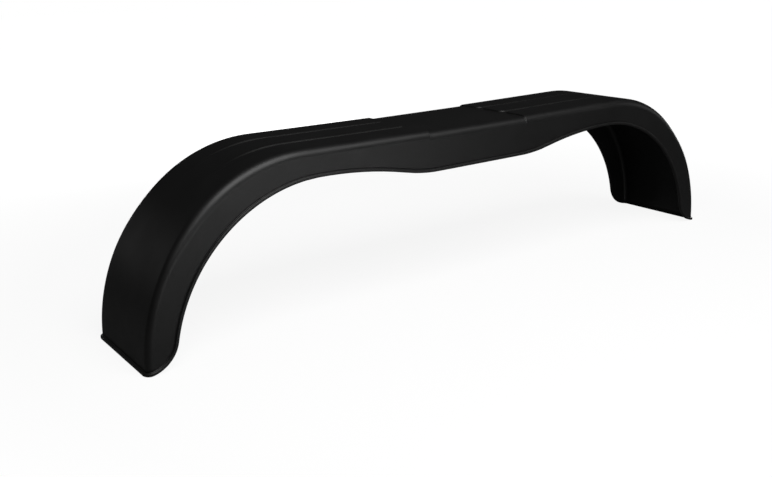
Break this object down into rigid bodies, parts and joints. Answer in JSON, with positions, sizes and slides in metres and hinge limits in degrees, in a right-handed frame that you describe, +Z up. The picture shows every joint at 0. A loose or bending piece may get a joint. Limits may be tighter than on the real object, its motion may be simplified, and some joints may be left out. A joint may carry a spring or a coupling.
{
  "type": "trailer mudguard",
  "caption": "Long twin-arch plastic mudguard with a flat deck, a sunken middle panel, side skirts and a bead along the lower edge.",
  "frame": {"origin": "on the ground line that the two end edges stand on, midway along and across the part", "axes": "+X along the trailer, +Y across the tyres from the outer skirt to the inboard skirt, +Z up"},
  "size_m": [1.482, 0.228, 0.341],
  "materials": {
    "black_plastic": "satin moulded polypropylene with a very fine grain"
  },
  "bodies": {
    "root": {"mudguard": "black_plastic"}
  },
  "joints": []
}
